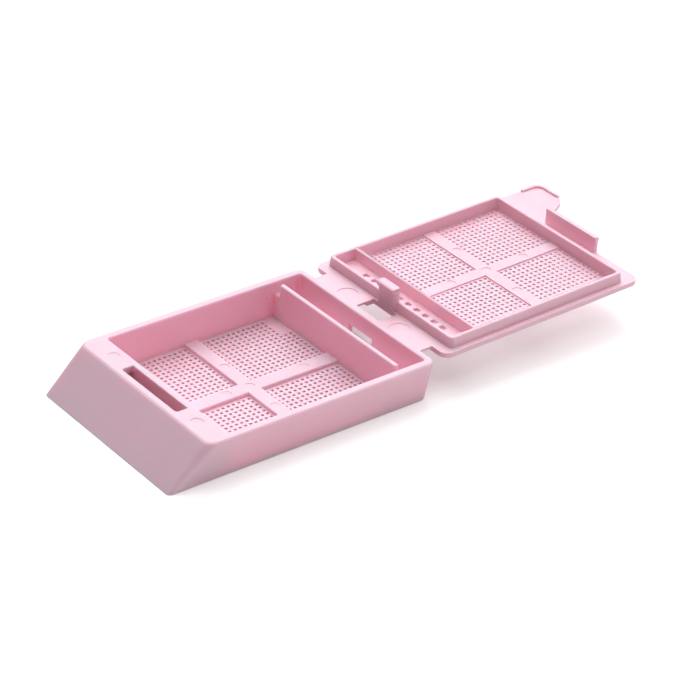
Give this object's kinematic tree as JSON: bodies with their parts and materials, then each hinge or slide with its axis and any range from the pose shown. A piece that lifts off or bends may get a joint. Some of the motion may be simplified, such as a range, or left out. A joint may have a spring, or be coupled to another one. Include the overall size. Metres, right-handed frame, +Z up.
{
  "type": "tissue cassette",
  "caption": "Moulded tissue cassette: shallow perforated tray with a sloping label face and a latch compartment, and a perforated snap lid on a folding web.",
  "frame": {"origin": "on the ground, at the middle of the tray's length and width", "axes": "+X from the sloping front wall towards the hinge and the opened lid, +Y towards the thumb tab's side, +Z up"},
  "size_m": [0.082, 0.0286, 0.009],
  "materials": {
    "pink_acetal": "satin, slightly translucent moulded acetal"
  },
  "bodies": {
    "tray": {"tray": "pink_acetal"},
    "lid": {"lid": "pink_acetal"}
  },
  "joints": [
    {"name": "lid_hinge", "type": "hinge", "parent": "tray", "child": "lid", "pos_m": [0.02127, 0, 0.00563], "axis": [0, -1, 0], "range_deg": [0, 178.8]}
  ]
}
